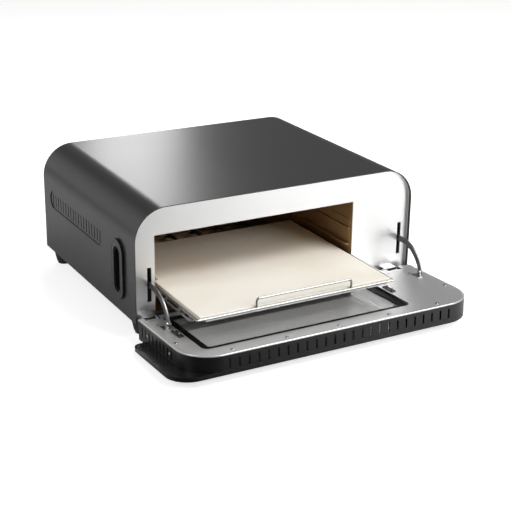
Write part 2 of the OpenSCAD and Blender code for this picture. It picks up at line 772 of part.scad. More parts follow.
// Bracket on the base: two ears that hold the pin, one on each side of the leaf, and a web above them
module hinge_bracket(x) color(steel) difference() {
    half = leaf_w / 2 + ear_gap + bracket_t;
    web_y = hinge_y + hinge_to_face + web_gap;
    web_z = hinge_z + pin_r + leaf_eye_wall + web_gap;
    union() {
        for (s = [-1, 1]) {
            x0 = s < 0 ? x - half : x + half - bracket_t;
            translate([x0, hinge_y, hinge_z]) rotate([0, 90, 0]) cylinder(h = bracket_t, r = pin_r + 2.5);
            box([x0, hinge_y, hinge_z - pin_r], [x0 + bracket_t, panel_y - seat_gap, hinge_z + pin_r]);
            box([x0, web_y, hinge_z - pin_r], [x0 + bracket_t, panel_y - seat_gap, web_z + web_t]);
        }
        box([x - half, web_y, web_z], [x + half, panel_y - seat_gap, web_z + web_t]);
    }
    translate([x - leaf_w, hinge_y, hinge_z]) rotate([0, 90, 0]) cylinder(h = 2 * leaf_w, r = pin_r);
}

module hinge_bracket_left() hinge_bracket(leaf_left_x);
module hinge_bracket_right() hinge_bracket(leaf_right_x);

// Curved arm: a flat strip bent about the hinge axis, with an eye on the door's lug
module door_arm(x) color([0.6, 0.6, 0.6]) open_door() translate([x - arm_t / 2, 0, 0]) rotate([90, 0, 90]) difference() {
    union() {
        intersection() {
            translate([arm_y, arm_z, 0]) difference() {
                cylinder(h = arm_t, r = arm_r + arm_w / 2);
                translate([0, 0, -1]) cylinder(h = arm_t + 2, r = arm_r - arm_w / 2);
            }
            translate([arm_y, arm_z, -1]) linear_extrude(arm_t + 2) polygon([[0, 0],
                for (a = [arm_tail, 0, 30, 60, eye_angle]) 1.3 * arm_r * [cos(a), sin(a)]]);
        }
        translate([eye_y, eye_z, 0]) cylinder(h = arm_t, r = arm_eye_r);
    }
    translate([eye_y, eye_z, -1]) cylinder(h = arm_t + 2, r = rivet_r + rivet_gap);
}

module door_arm_left() door_arm(arm_left_x);
module door_arm_right() door_arm(arm_right_x);

// Lug on the inner plate: a foot, an upright ear beside the arm, and the rivet through its eye
module arm_lug(x, out) color(steel) open_door() translate([x, 0, 0]) scale([out, 1, 1]) {
    x0 = arm_t / 2 + lug_gap;
    box([x0, door_in_y, eye_z - lug_base_w], [x0 + lug_base_w, door_in_y + lug_base_t, eye_z + lug_base_w]);
    box([x0, door_in_y, eye_z - lug_r], [x0 + lug_t, eye_y, eye_z + lug_r]);
    translate([x0, eye_y, eye_z]) rotate([0, 90, 0]) cylinder(h = lug_t, r = lug_r);
    translate([-x0 - 1, eye_y, eye_z]) rotate([0, 90, 0]) cylinder(h = 2 * x0 + 2, r = rivet_r);
    translate([-x0 - 1, eye_y, eye_z]) rotate([0, 90, 0]) cylinder(h = 1, r = rivet_head_r);
}

module arm_lug_left() arm_lug(arm_left_x, -1);
module arm_lug_right() arm_lug(arm_right_x, -1);

// Guide behind the panel: a tall channel that keeps the arm upright in its slot
module arm_guide(x) color(black) difference() {
    box([x - guide_half_w, panel_back_y + seat_gap, wrap_z + slot_low - guide_wall],
        [x + guide_half_w, panel_back_y + guide_depth, wrap_z + slot_low + arm_slot_h + guide_wall]);
    box([x - arm_t / 2 - guide_clear, panel_back_y, wrap_z + slot_low],
        [x + arm_t / 2 + guide_clear, panel_back_y + guide_depth + 1, wrap_z + slot_low + arm_slot_h]);
}

module arm_guide_left() arm_guide(arm_left_x);
module arm_guide_right() arm_guide(arm_right_x);

module pull_hooks() color(steel) open_door()
    for (x = [window_x - window_w / 2 - gasket_w - 7, window_x + window_w / 2 + gasket_w + 7]) {
        box([x - 4, door_in_y, 58], [x + 4, door_in_y + 1.2, 84]);
        box([x - 3, door_in_y, 62], [x + 3, door_in_y + 5, 66]);
    }

module knob(z) color([0.2, 0.2, 0.2]) open_door() translate([knob_x, door_out_y, z]) rotate([90, 0, 0]) {
    translate([0, 0, 0.4]) cylinder(h = knob_h - 0.4, r = knob_d / 2);
    translate([0, 0, -fascia_t - 4]) cylinder(h = fascia_t + 4.5, r = shaft_r);
}

module temperature_knob() knob(knob_z_high);
module timer_knob() knob(knob_z_low);

module dial_switch(z) color(black) open_door() translate([knob_x, fascia_y1 + eps, z]) rotate([-90, 0, 0]) difference() {
    cylinder(h = switch_t, r = switch_d / 2);
    translate([0, 0, -1]) cylinder(h = 7, r = shaft_r + shaft_gap);
}

module temperature_switch() dial_switch(knob_z_high);
module timer_switch() dial_switch(knob_z_low);

module indicator_lens() color([0.7, 0.1, 0.05]) open_door()
    box([lens_x - lens_w / 2 + 0.1, door_out_y + 0.2, lens_z - lens_h / 2 + 0.1],
        [lens_x + lens_w / 2 - 0.1, fascia_y1, lens_z + lens_h / 2 - 0.1]);

// Carrier: two side bars, a raised front bar and cross bars under the stone
cross_ys = [for (i = [0 : cross_count - 1])
    carrier_y0 + nose_back + 12 + i * (stone_d - nose_back - 22) / (cross_count - 1)];

module bar_y(x, y0, y1, z) {
    translate([x, y0, z]) rotate([-90, 0, 0]) cylinder(h = y1 - y0, r = bar_d / 2);
}

module bar_x(x0, x1, y, z) {
    translate([x0, y, z]) rotate([0, 90, 0]) cylinder(h = x1 - x0, r = bar_d / 2);
}

module stone_carrier() color(steel) {
    back = stone_y0 + stone_d + stone_gap;
    for (x = [carrier_x0 + bar_d / 2, carrier_x1 - bar_d / 2]) {
        bar_y(x, carrier_y0 + bar_d / 2, back, front_bar_z);
        translate([x, carrier_y0 + bar_d / 2, front_bar_z]) sphere(bar_d / 2);
    }
    bar_x(carrier_x0 + bar_d / 2, carrier_x1 - bar_d / 2, carrier_y0 + bar_d / 2, front_bar_z);
    for (y = cross_ys) bar_x(carrier_x0 + bar_d / 2, carrier_x1 - bar_d / 2, y, rail_z);
    for (x = [carrier_x0 + bar_d / 2, carrier_x1 - bar_d / 2], y = [cross_ys[0], cross_ys[3], cross_ys[cross_count - 1]])
        translate([x, y, rail_z]) cylinder(h = front_bar_z - rail_z, r = bar_d / 2);
    for (x = [carrier_x0 + bar_d / 2, carrier_x1 - bar_d / 2]) bar_y(x, cross_ys[0], cross_ys[cross_count - 1], rail_z);
    front_strip();
}

// Perforated strip under the front bar
module front_strip() difference() {
    y = carrier_y0 + (bar_d - strip_t) / 2;
    box([carrier_x0 + strip_inset, y, front_bar_z - strip_h], [carrier_x1 - strip_inset, y + strip_t, front_bar_z]);
    for (i = [0 : strip_holes - 1])
        translate([cavity_x + (i - (strip_holes - 1) / 2) * strip_hole_pitch, y - 1, front_bar_z - (strip_h + bar_d / 2) / 2])
            rotate([-90, 0, 0]) cylinder(h = strip_t + 2, r = strip_hole_r);
}

module carrier_handle() color(steel) {
    y = carrier_y0 + bar_d / 2;
    x0 = cavity_x - handle_w / 2 + 8;
    z0 = front_bar_z + bar_d / 2;
    r = 4;
    for (x = [x0, x0 + handle_w]) translate([x, y, z0]) cylinder(h = handle_h - r, r = handle_d / 2);
    translate([x0 + r, y, z0 + handle_h]) rotate([0, 90, 0]) cylinder(h = handle_w - 2 * r, r = handle_d / 2);
    for (s = [0, 1])
        translate([x0 + r + s * (handle_w - 2 * r), y, z0 + handle_h - r]) rotate([90, 0, 0])
            rotate([0, 0, 90 - 90 * s]) rotate_extrude(angle = 90) translate([r, 0]) circle(handle_d / 2);
}

module baking_stone() color([0.93, 0.91, 0.86]) difference() {
    box([stone_x0, stone_y0, stone_z0], [stone_x0 + stone_w, stone_y0 + stone_d, stone_z1]);
    translate([stone_x0 - 1, stone_y0, stone_z0]) rotate([0, 90, 0]) rotate(45) cube([9, 9, 2 * stone_w + 20], center = true);
}

base_pan();
wrap_shell();
rear_panel();
front_panel();
cavity_liner();
shelf_rail_left();
shelf_rail_right();
upper_element();
lower_element();
element_brackets();
insulation_blanket();
bay_divider();
power_board();
terminal_block();
thermal_cutout();
temperature_probe();
fan_frame();
fan_rotor();
mains_cord_gland();
front_left_foot();
front_right_foot();
rear_left_foot();
rear_right_foot();
foot_pads();
grip_bezel_left();
grip_bezel_right();
grip_cup_left();
grip_cup_right();
hinge_bracket_left();
hinge_bracket_right();
hinge_pin_left();
hinge_pin_right();
arm_guide_left();
arm_guide_right();
rear_screws();
base_screws();
door_frame();
door_inner_plate();
door_fascia();
window_gasket();
inner_glass();
outer_glass();
hinge_leaf_left();
hinge_leaf_right();
arm_lug_left();
arm_lug_right();
door_arm_left();
door_arm_right();
pull_hooks();
door_plate_screws();
door_side_screws();
temperature_knob();
timer_knob();
temperature_switch();
timer_switch();
indicator_lens();
stone_carrier();
carrier_handle();
baking_stone();
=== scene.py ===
import math

import bmesh
import bpy
from mathutils import Matrix, Vector


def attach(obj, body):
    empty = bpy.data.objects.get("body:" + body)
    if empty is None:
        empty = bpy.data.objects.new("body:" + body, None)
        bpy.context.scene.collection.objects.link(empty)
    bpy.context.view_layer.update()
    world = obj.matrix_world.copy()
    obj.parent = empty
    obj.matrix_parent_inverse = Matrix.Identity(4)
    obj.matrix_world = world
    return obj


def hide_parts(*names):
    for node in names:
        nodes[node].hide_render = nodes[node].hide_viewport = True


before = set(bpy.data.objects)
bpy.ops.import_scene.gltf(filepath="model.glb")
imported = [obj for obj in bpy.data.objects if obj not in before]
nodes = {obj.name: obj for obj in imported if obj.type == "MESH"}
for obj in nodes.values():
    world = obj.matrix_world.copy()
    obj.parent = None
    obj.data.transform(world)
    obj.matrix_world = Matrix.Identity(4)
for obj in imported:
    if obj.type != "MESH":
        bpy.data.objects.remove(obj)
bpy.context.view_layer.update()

# ---------------------------------------------------------------- viewpoint
# The oven is seen from the left of its front, a little above, through a long lens, so that
# its sides run almost parallel.
eye = Vector((-0.858278, -1.637861, 0.733983))
turn, tilt, roll = math.radians(29.239), math.radians(20.929), math.radians(0.774)
focal_pixels, photo_pixels = 1243.61, 511
sensor_width = 36.0
ahead = Vector((math.sin(turn) * math.cos(tilt), math.cos(turn) * math.cos(tilt), -math.sin(tilt)))
level = Vector((math.cos(turn), -math.sin(turn), 0.0))
above = level.cross(ahead)
across = math.cos(roll) * level + math.sin(roll) * above
upward = -math.sin(roll) * level + math.cos(roll) * above
bpy.ops.object.camera_add()
camera = bpy.context.object
camera.name = "studio_camera"
camera.matrix_world = Matrix.Translation(eye) @ Matrix((across, upward, -ahead)).transposed().to_4x4()
camera.data.sensor_width = sensor_width
camera.data.lens = focal_pixels / photo_pixels * sensor_width
camera.data.clip_start = 0.05
camera.data.clip_end = 60.0
scene = bpy.context.scene
scene.camera = camera
scene.view_settings.view_transform = "Standard"


# ---------------------------------------------------------------- studio
# A pale table top in a bright room, with four soft lamps: a narrow one behind the oven that is
# mirrored along its top, one at the front right, one overhead and a weak one on the left.
def lamp(name, place, target, width, height, power):
    bpy.ops.object.light_add(type="AREA", location=place)
    light = bpy.context.object
    light.name = name
    light.rotation_euler = (Vector(target) - Vector(place)).to_track_quat("-Z", "Y").to_euler()
    light.data.shape = "RECTANGLE"
    light.data.size = width
    light.data.size_y = height
    light.data.energy = power


lamp("back_strip", (0.62, 1.82, 0.95), (-0.30, 0.12, 0.19), 0.30, 1.1, 4.6)
lamp("front_softbox", (1.5, -2.3, 1.1), (0.0, -0.25, 0.05), 1.8, 1.2, 40)
lamp("overhead_softbox", (0.95, -1.1, 2.0), (0.0, -0.15, 0.1), 1.4, 1.1, 38)
lamp("left_softbox", (-1.9, -0.2, 1.3), (-0.1, -0.25, 0.05), 0.7, 0.9, 12)


def feed(tree, value, socket):
    if isinstance(value, (int, float, tuple)):
        socket.default_value = value
    else:
        tree.links.new(value, socket)


def remap(tree, value, start, end, low, high, curve="LINEAR"):
    node = tree.nodes.new("ShaderNodeMapRange")
    node.interpolation_type = curve
    feed(tree, value, node.inputs["Value"])
    feed(tree, start, node.inputs["From Min"])
    feed(tree, end, node.inputs["From Max"])
    feed(tree, low, node.inputs["To Min"])
    feed(tree, high, node.inputs["To Max"])
    return node.outputs["Result"]


def calculate(tree, operation, first, second):
    node = tree.nodes.new("ShaderNodeMath")
    node.operation = operation
    feed(tree, first, node.inputs[0])
    feed(tree, second, node.inputs[1])
    return node.outputs[0]


bright_side = (-0.562, 0.818, 0.102)
room_dim, room_bright = 0.22, 0.95
world = bpy.data.worlds.new("bright_room")
scene.world = world
world.use_nodes = True
sky = world.node_tree
sky.nodes.clear()
sky_out = sky.nodes.new("ShaderNodeOutputWorld")
room = sky.nodes.new("ShaderNodeBackground")
backdrop = sky.nodes.new("ShaderNodeBackground")
backdrop.inputs["Color"].default_value = (1, 1, 1, 1)
where = sky.nodes.new("ShaderNodeTexCoord")
toward = sky.nodes.new("ShaderNodeVectorMath")
toward.operation = "DOT_PRODUCT"
toward.inputs[1].default_value = bright_side
sky.links.new(where.outputs["Generated"], toward.inputs[0])
sweep = remap(sky, toward.outputs["Value"], 0.80, 0.98, room_dim, room_bright, "SMOOTHSTEP")
sky.links.new(sweep, room.inputs["Strength"])
sky_mix = sky.nodes.new("ShaderNodeMixShader")
sky_path = sky.nodes.new("ShaderNodeLightPath")
sky.links.new(sky_path.outputs["Is Camera Ray"], sky_mix.inputs[0])
sky.links.new(room.outputs[0], sky_mix.inputs[1])
sky.links.new(backdrop.outputs[0], sky_mix.inputs[2])
sky.links.new(sky_mix.outputs[0], sky_out.inputs[0])

bpy.ops.object.select_all(action="DESELECT")
bpy.ops.mesh.primitive_plane_add(size=40, location=(0, 0, 0))
table = bpy.context.object
table.name = "table_top"
table_pale, table_painted_dark_in_reflections = 0.88, 0.02
glow_seen, glow_through_glass = 0.68, 0.45
pale = bpy.data.materials.new("pale_table")
pale.use_nodes = True
tree = pale.node_tree
tree.nodes.clear()
out = tree.nodes.new("ShaderNodeOutputMaterial")
matt = tree.nodes.new("ShaderNodeBsdfPrincipled")
matt.inputs["Roughness"].default_value = 0.6
glow = tree.nodes.new("ShaderNodeEmission")
path = tree.nodes.new("ShaderNodeLightPath")
spot = tree.nodes.new("ShaderNodeNewGeometry")
split = tree.nodes.new("ShaderNodeSeparateXYZ")
tree.links.new(spot.outputs["Position"], split.inputs[0])
# Seen only in reflections, the table is painted dark in front of and to the left of the oven (0.02 instead
# of 0.88), so the steel front mirrors a painted shade on its left and lower part.
in_front = remap(tree, split.outputs["Y"], -0.20, -0.34, 0.0, 1.0)
at_left = remap(tree, split.outputs["X"], -0.20, 0.30, 1.0, 0.0)
shaded = calculate(tree, "MULTIPLY", in_front, at_left)
painted_reflection_shade = calculate(tree, "MULTIPLY", shaded, path.outputs["Is Glossy Ray"])
tree.links.new(remap(tree, painted_reflection_shade, 0.0, 1.0, table_pale, table_painted_dark_in_reflections), matt.inputs["Base Color"])
seen = calculate(tree, "MULTIPLY", path.outputs["Is Camera Ray"], glow_seen)
through_glass = calculate(tree, "MULTIPLY", path.outputs["Is Transmission Ray"], glow_through_glass)
tree.links.new(calculate(tree, "ADD", seen, through_glass), glow.inputs["Strength"])
both = tree.nodes.new("ShaderNodeAddShader")
tree.links.new(matt.outputs[0], both.inputs[0])
tree.links.new(glow.outputs[0], both.inputs[1])
tree.links.new(both.outputs[0], out.inputs[0])
table.data.materials.append(pale)


# ---------------------------------------------------------------- wrap, back and base
# The outer sheet is one piece of steel bent over the top and both sides, with louvres pressed
# into each side. It is stoved in a satin dark grey paint with a fine orange peel, as are the
# back panel and the base pan. Its inner side is bare behind a narrow band of overspray.
COLOUR, NUMBER, ARROW = "NodeSocketColor", "NodeSocketFloat", "NodeSocketVector"


def new_group(name, colour, *more):
    group = bpy.data.node_groups.new(name, "ShaderNodeTree")
    for label, kind, value in (("Position", ARROW, (0, 0, 0)), ("Colour", COLOUR, colour), *more):
        socket = group.interface.new_socket(label, in_out="INPUT", socket_type=kind)
        socket.default_value = value
    for label, kind in (("Colour", COLOUR), ("Roughness", NUMBER), ("Height", NUMBER)):
        group.interface.new_socket(label, in_out="OUTPUT", socket_type=kind)
    taken, given = group.nodes.new("NodeGroupInput"), group.nodes.new("NodeGroupOutput")
    return group, taken.outputs, given.inputs


def blend_colour(group, factor, first, second, mode="MIX"):
    mix = group.nodes.new("ShaderNodeMix")
    mix.data_type = "RGBA"
    mix.blend_type = mode
    feed(group, factor, mix.inputs["Factor"])
    feed(group, first, mix.inputs["A"])
    feed(group, second, mix.inputs["B"])
    return mix.outputs["Result"]


def pattern(group, vector, scale, detail, stretch=(1, 1, 1)):
    mapping = group.nodes.new("ShaderNodeMapping")
    mapping.inputs["Scale"].default_value = stretch
    group.links.new(vector, mapping.inputs["Vector"])
    noise = group.nodes.new("ShaderNodeTexNoise")
    noise.inputs["Detail"].default_value = detail
    feed(group, scale, noise.inputs["Scale"])
    group.links.new(mapping.outputs[0], noise.inputs["Vector"])
    return noise.outputs["Fac"]


peel, peel_in, peel_out = new_group(
    "orange_peel", (0.1, 0.1, 0.1, 1), ("Grain Size", NUMBER, 420.0), ("Shade Change", NUMBER, 0.12),
    ("Roughness Low", NUMBER, 0.35), ("Roughness High", NUMBER, 0.5))
grain = pattern(peel, peel_in["Position"], peel_in["Grain Size"], 1.0)
cloud = pattern(peel, peel_in["Position"], 9.0, 0.0)
darker = blend_colour(peel, 1.0, peel_in["Colour"], (0.72, 0.72, 0.72, 1), "MULTIPLY")
shade = calculate(peel, "MULTIPLY", cloud, peel_in["Shade Change"])
sheen = remap(peel, cloud, 0.05, 0.95, peel_in["Roughness Low"], peel_in["Roughness High"])
peel.links.new(blend_colour(peel, shade, peel_in["Colour"], darker), peel_out["Colour"])
peel.links.new(sheen, peel_out["Roughness"])
peel.links.new(grain, peel_out["Height"])


def finish(name, group, colour, metallic=0.0, bump=0.05, distance=0.0002, **values):
    material = bpy.data.materials.new(name)
    material.use_nodes = True
    made = material.node_tree
    shader = made.nodes["Principled BSDF"]
    shader.inputs["Metallic"].default_value = metallic
    place = made.nodes.new("ShaderNodeTexCoord")
    effect = made.nodes.new("ShaderNodeGroup")
    effect.node_tree = group
    effect.inputs["Colour"].default_value = (*colour, 1)
    made.links.new(place.outputs["Object"], effect.inputs["Position"])
    made.links.new(effect.outputs["Colour"], shader.inputs["Base Color"])
    made.links.new(effect.outputs["Roughness"], shader.inputs["Roughness"])
    relief = made.nodes.new("ShaderNodeBump")
    relief.inputs["Strength"].default_value = bump
    relief.inputs["Distance"].default_value = distance
    made.links.new(effect.outputs["Height"], relief.inputs["Height"])
    made.links.new(relief.outputs["Normal"], shader.inputs["Normal"])
    for label, value in values.items():
        label = label.replace("_", " ")
        if label in effect.inputs:
            effect.inputs[label].default_value = value
        else:
            shader.inputs[label].default_value = value
    return material


weld_distance = 0.00001


def dress(material, *names, edge=0.0003, rounds=2):
    for name in names:
        solid = nodes[name]
        solid.data.materials.clear()
        solid.data.materials.append(material)
        joined = solid.modifiers.new("joined", "WELD")
        joined.merge_threshold = weld_distance
        rounded = solid.modifiers.new("rounded", "BEVEL")
        rounded.width = edge
        rounded.segments = rounds
        rounded.limit_method = "ANGLE"
        rounded.angle_limit = math.radians(38)
        solid.modifiers.new("even", "WEIGHTED_NORMAL")


housing_paint = finish("housing_paint", peel, (0.028, 0.028, 0.029), bump=0.03,
                       Grain_Size=170.0, Roughness_Low=0.285, Roughness_High=0.315)
dress(housing_paint, "wrap_shell", edge=0.0004)
dress(housing_paint, "rear_panel", "base_pan")

bare_inside = finish("bare_inside", peel, (0.8, 0.8, 0.79), metallic=0.8, bump=0.02,
                     Roughness_Low=0.35, Roughness_High=0.45)
overspray = (0.012, 0.012, 0.012, 1)
overspray_end, bare_start = -0.1745, -0.1735
made = bare_inside.node_tree
shader = made.nodes["Principled BSDF"]
spray = made.nodes.new("ShaderNodeSeparateXYZ")
made.links.new(made.nodes["Texture Coordinate"].outputs["Object"], spray.inputs[0])
painted = remap(made, spray.outputs["Y"], overspray_end, bare_start, 1.0, 0.0)
bare = made.nodes["Group"].outputs["Colour"]
made.links.new(blend_colour(made, painted, bare, overspray), shader.inputs["Base Color"])
made.links.new(remap(made, painted, 0.0, 1.0, 0.8, 0.0), shader.inputs["Metallic"])
sheet = nodes["wrap_shell"].data
sheet.materials.append(bare_inside)
middle_height, inward, sideways = 0.1, -0.07, 0.5
for face in sheet.polygons:
    outwards = Vector((face.center.x, 0, face.center.z - middle_height))
    if face.normal.dot(outwards) < inward and abs(face.normal.y) < sideways:
        face.material_index = 1

# ---------------------------------------------------------------- feet
# Four moulded feet, round and tapered, in a fine-grained black plastic. A soft rubber pad is
# pressed into each from below, and one screw holds the foot to the base.
black_plastic = finish("black_plastic", peel, (0.022, 0.022, 0.023), Roughness_Low=0.4, Roughness_High=0.5)
seal_rubber = finish("seal_rubber", peel, (0.018, 0.018, 0.018), Roughness_Low=0.55, Roughness_High=0.68)
feet = [end + "_" + side + "_foot" for end in ("front", "rear") for side in ("left", "right")]
dress(black_plastic, *feet, edge=0.0008)
dress(seal_rubber, "foot_pads", edge=0.0006)


# ---------------------------------------------------------------- carry grips
# A hand hole in each side: a moulded rim with a rolled outer edge, set into the sheet, and a
# closed cup behind it. Both are black plastic, and the rim is a little glossier.
def choose(pieces):
    bpy.ops.object.select_all(action="DESELECT")
    for piece in pieces:
        piece.select_set(True)
    bpy.context.view_layer.objects.active = pieces[0]


def begin(name, add, **where):
    bpy.ops.object.select_all(action="DESELECT")
    add(**where)
    piece = bpy.context.object
    piece.name = name
    bpy.ops.object.transform_apply(location=True, rotation=True, scale=True)
    return piece


def pick(piece, kind, test):
    mesh = bmesh.from_edit_mesh(piece.data)
    bpy.ops.mesh.select_all(action="DESELECT")
    bpy.ops.mesh.select_mode(type=kind)
    for item in {"VERT": mesh.verts, "EDGE": mesh.edges, "FACE": mesh.faces}[kind]:
        item.select_set(bool(test(item)))
    mesh.select_flush_mode()
    bmesh.update_edit_mesh(piece.data)


def pick_top(piece):
    pick(piece, "FACE", lambda face: face.normal.z > 0.9)


def pill(name, radius, straight, depth):
    sides = 64
    piece = begin(name, bpy.ops.mesh.primitive_cylinder_add, vertices=sides, radius=radius, depth=depth,
                  rotation=(0, 0, math.pi / sides))
    bpy.ops.object.mode_set(mode="EDIT")
    for way in (1, -1):
        pick(piece, "VERT", lambda vertex: vertex.co.y * way > 0)
        bpy.ops.transform.translate(value=(0, way * straight / 2, 0))
    return piece


def complete(piece, material, body, place=None, edge=0.0, rounds=3, corner=40, replaced=()):
    bpy.ops.object.mode_set(mode="OBJECT")
    choose([piece])
    if edge:
        rounded = piece.modifiers.new("rounded", "BEVEL")
        rounded.width = edge
        rounded.segments = rounds
        rounded.limit_method = "ANGLE"
        rounded.angle_limit = math.radians(corner)
        bpy.ops.object.modifier_apply(modifier=rounded.name)
    bpy.ops.object.shade_smooth_by_angle(angle=math.radians(corner))
    if place is not None:
        piece.data.transform(place)
    piece.data.materials.clear()
    piece.data.materials.append(material)
    if replaced:
        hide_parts(*replaced)
    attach(piece, body)


grip_plastic = finish("grip_plastic", peel, (0.012, 0.012, 0.0125), bump=0.02,
                      Roughness_Low=0.2, Roughness_High=0.26)
side_x, grip_y, grip_z = 0.230, -0.122, 0.088
grip_width, grip_height, grip_stand = 0.040, 0.090, 0.004
hole_width, hole_height = 0.021, 0.068
lip_width, lip_sink, rolled_edge = 0.0031, 0.0009, 0.0009
for side, way in (("left", -1), ("right", 1)):
    rim = pill("carry_grip_rim_" + side, grip_width / 2, grip_height - grip_width, grip_stand)
    pick(rim, "FACE", lambda face: abs(face.normal.z) > 0.9)
    bpy.ops.mesh.inset(thickness=(grip_width - hole_width) / 2)
    stretch = hole_height / (grip_height - grip_width + hole_width)
    bpy.ops.transform.resize(value=(1, stretch, 1), center_override=(0, 0, 0))
    bpy.ops.mesh.bridge_edge_loops()
    pick_top(rim)
    bpy.ops.mesh.inset(thickness=lip_width)
    bpy.ops.transform.translate(value=(0, 0, -lip_sink))
    facing_out = Matrix(((0, 0, way, way * (side_x + grip_stand / 2)), (way, 0, 0, grip_y),
                         (0, 1, 0, grip_z), (0, 0, 0, 1)))
    complete(rim, grip_plastic, "housing", facing_out, edge=rolled_edge,
             replaced=("grip_bezel_" + side,))
# The cup gets a deeper black than the other black plastic: its own black plus painted shade deep in the hand
# hole.
cup_black_with_painted_shade = finish("cup_black_with_painted_shade", peel, (0.005, 0.005, 0.005), Roughness_Low=0.5, Roughness_High=0.6)
dress(cup_black_with_painted_shade, "grip_cup_left", "grip_cup_right")

# ---------------------------------------------------------------- front panel
# A flat sheet of stainless steel behind the door, brushed across in long fine lines. The
# chamber's mouth and the two tall slots for the door's arms are cut in it.
brush, brush_in, brush_out = new_group(
    "brushed_lines", (0.8, 0.8, 0.8, 1), ("Contrast", NUMBER, 0.2),
    ("Roughness Low", NUMBER, 0.25), ("Roughness High", NUMBER, 0.4))
lines = pattern(brush, brush_in["Position"], 1.0, 3.0, (5, 1500, 1500))
broad = pattern(brush, brush_in["Position"], 6.0, 0.0)
dull = blend_colour(brush, 1.0, brush_in["Colour"], (0.7, 0.7, 0.7, 1), "MULTIPLY")
depth = calculate(brush, "MULTIPLY", lines, brush_in["Contrast"])
sheen = remap(brush, broad, 0.05, 0.95, brush_in["Roughness Low"], brush_in["Roughness High"])
brush.links.new(blend_colour(brush, depth, brush_in["Colour"], dull), brush_out["Colour"])
brush.links.new(sheen, brush_out["Roughness"])
brush.links.new(lines, brush_out["Height"])

front_steel = finish("front_steel", brush, (0.87, 0.87, 0.865), metallic=1.0, bump=0.06,
                     Roughness_Low=0.3, Roughness_High=0.38)
dress(front_steel, "front_panel")

# ---------------------------------------------------------------- baking chamber
# A folded steel box with a golden heat-proof coating. Ribbed runners stamped from the same
# sheet carry the stone at each side, and two bent tube heaters with a dull oxide skin lie
# above and below it on plated cross straps.
baked, baked_in, baked_out = new_group(
    "baked_coating", (0.5, 0.4, 0.24, 1), ("Scorch", COLOUR, (0.2, 0.13, 0.06, 1)),
    ("Roughness Low", NUMBER, 0.3), ("Roughness High", NUMBER, 0.5))
patches = pattern(baked, baked_in["Position"], 7.0, 5.0)
specks = pattern(baked, baked_in["Position"], 700.0, 1.0)
scorched = remap(baked, patches, 0.45, 0.75, 0.0, 0.55)
sheen = remap(baked, patches, 0.3, 0.7, baked_in["Roughness Low"], baked_in["Roughness High"])
baked.links.new(blend_colour(baked, scorched, baked_in["Colour"], baked_in["Scorch"]), baked_out["Colour"])
baked.links.new(sheen, baked_out["Roughness"])
baked.links.new(specks, baked_out["Height"])

chamber_gold = finish("chamber_gold", baked, (0.56, 0.36, 0.17), metallic=0.6, bump=0.1,
                      Roughness_Low=0.28, Roughness_High=0.42)
element_oxide = finish("element_oxide", baked, (0.09, 0.085, 0.08), metallic=0.4, bump=0.2,
                       Roughness_Low=0.5, Roughness_High=0.7)
zinc_steel = finish("zinc_steel", brush, (0.48, 0.48, 0.475), metallic=1.0,
                    Roughness_Low=0.18, Roughness_High=0.26)
dress(chamber_gold, "cavity_liner", "shelf_rail_left", "shelf_rail_right")
dress(element_oxide, "upper_element", "lower_element")
dress(zinc_steel, "element_brackets", "temperature_probe", edge=0.0002)

# ---------------------------------------------------------------- insulation
# A blanket of pressed mineral wool, cut to lie over the top, the back and both sides of the
# chamber. It has soft corners and a matted surface.
wool_felt = finish("wool_felt", baked, (0.62, 0.58, 0.48), bump=0.6, distance=0.002,
                   Scorch=(0.4, 0.35, 0.26, 1), Roughness_Low=0.9, Roughness_High=1.0)
blanket = bpy.data.objects.new("wool_blanket", nodes["insulation_blanket"].data.copy())
bpy.context.collection.objects.link(blanket)
choose([blanket])
bpy.ops.mesh.customdata_custom_splitnormals_clear()
bpy.ops.object.mode_set(mode="EDIT")
bpy.ops.mesh.select_all(action="SELECT")
bpy.ops.mesh.remove_doubles(threshold=weld_distance)
bpy.ops.object.mode_set(mode="OBJECT")
felted = blanket.modifiers.new("felted", "REMESH")
felted.mode = "VOXEL"
felted.voxel_size = 0.0045
bpy.ops.object.modifier_apply(modifier=felted.name)
tufts = bpy.data.textures.new("wool_tufts", "CLOUDS")
tufts.noise_scale = 0.012
matted = blanket.modifiers.new("matted", "DISPLACE")
matted.texture = tufts
matted.strength = 0.0014
matted.mid_level = 0.8
bpy.ops.object.modifier_apply(modifier=matted.name)
complete(blanket, wool_felt, "housing", corner=60, replaced=("insulation_blanket",))

# ---------------------------------------------------------------- electrics
# The bay to the right of the chamber: a plated divider, a green circuit board with its relays,
# a porcelain terminal block, a thermal cut-out, a small fan, and the gland for the cord.
board_green = finish("board_green", peel, (0.02, 0.12, 0.05), Roughness_Low=0.3, Roughness_High=0.4)
porcelain = finish("porcelain", peel, (0.75, 0.73, 0.68), Roughness_Low=0.4, Roughness_High=0.5)
dress(zinc_steel, "bay_divider", edge=0.0002)
dress(board_green, "power_board")
dress(porcelain, "terminal_block", edge=0.0006)
dress(black_plastic, "thermal_cutout", "fan_frame", "fan_rotor")
dress(black_plastic, "mains_cord_gland", edge=0.0006)


